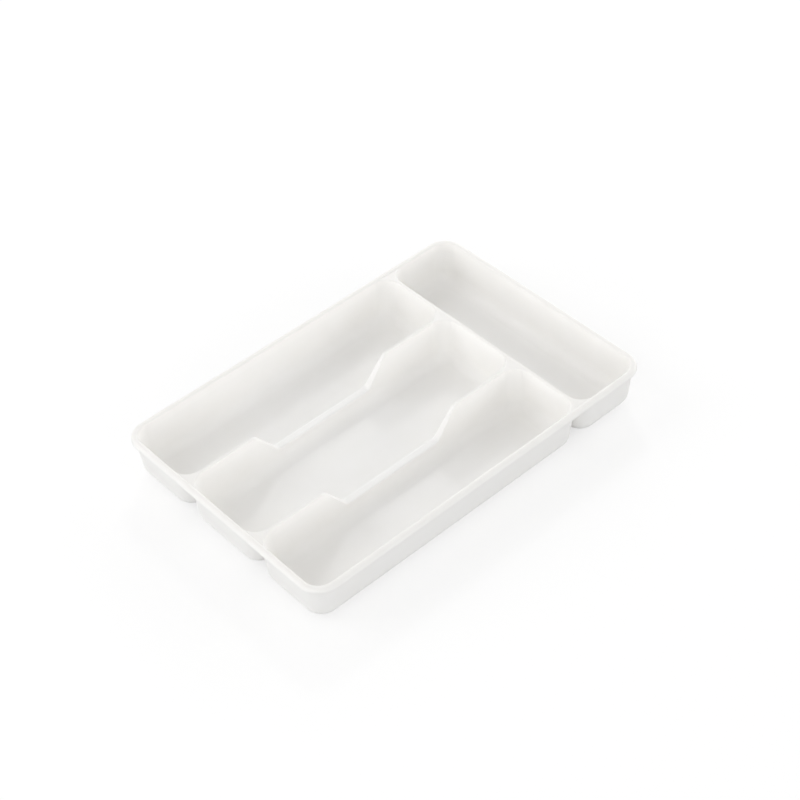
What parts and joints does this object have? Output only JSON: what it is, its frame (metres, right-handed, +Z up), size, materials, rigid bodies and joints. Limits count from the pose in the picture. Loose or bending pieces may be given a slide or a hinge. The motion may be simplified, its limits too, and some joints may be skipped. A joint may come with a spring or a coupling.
{
  "type": "cutlery drawer organizer",
  "caption": "Shallow white moulded plastic tray for a kitchen drawer, with long compartments side by side, a cross compartment behind them, and finger dips in the long dividers.",
  "frame": {"origin": "on the standing surface, in the middle of the footprint", "axes": "+X to the right, +Y to the back, where the cross compartment is, +Z up"},
  "size_m": [0.174, 0.26, 0.031],
  "materials": {
    "white_plastic": "smooth satin polypropylene, white, with a very fine moulded grain"
  },
  "bodies": {
    "root": {"rim_collar": "white_plastic", "left_compartment": "white_plastic", "middle_compartment": "white_plastic", "right_compartment": "white_plastic", "rear_compartment": "white_plastic", "left_divider": "white_plastic", "right_divider": "white_plastic", "cross_divider": "white_plastic"}
  },
  "joints": []
}
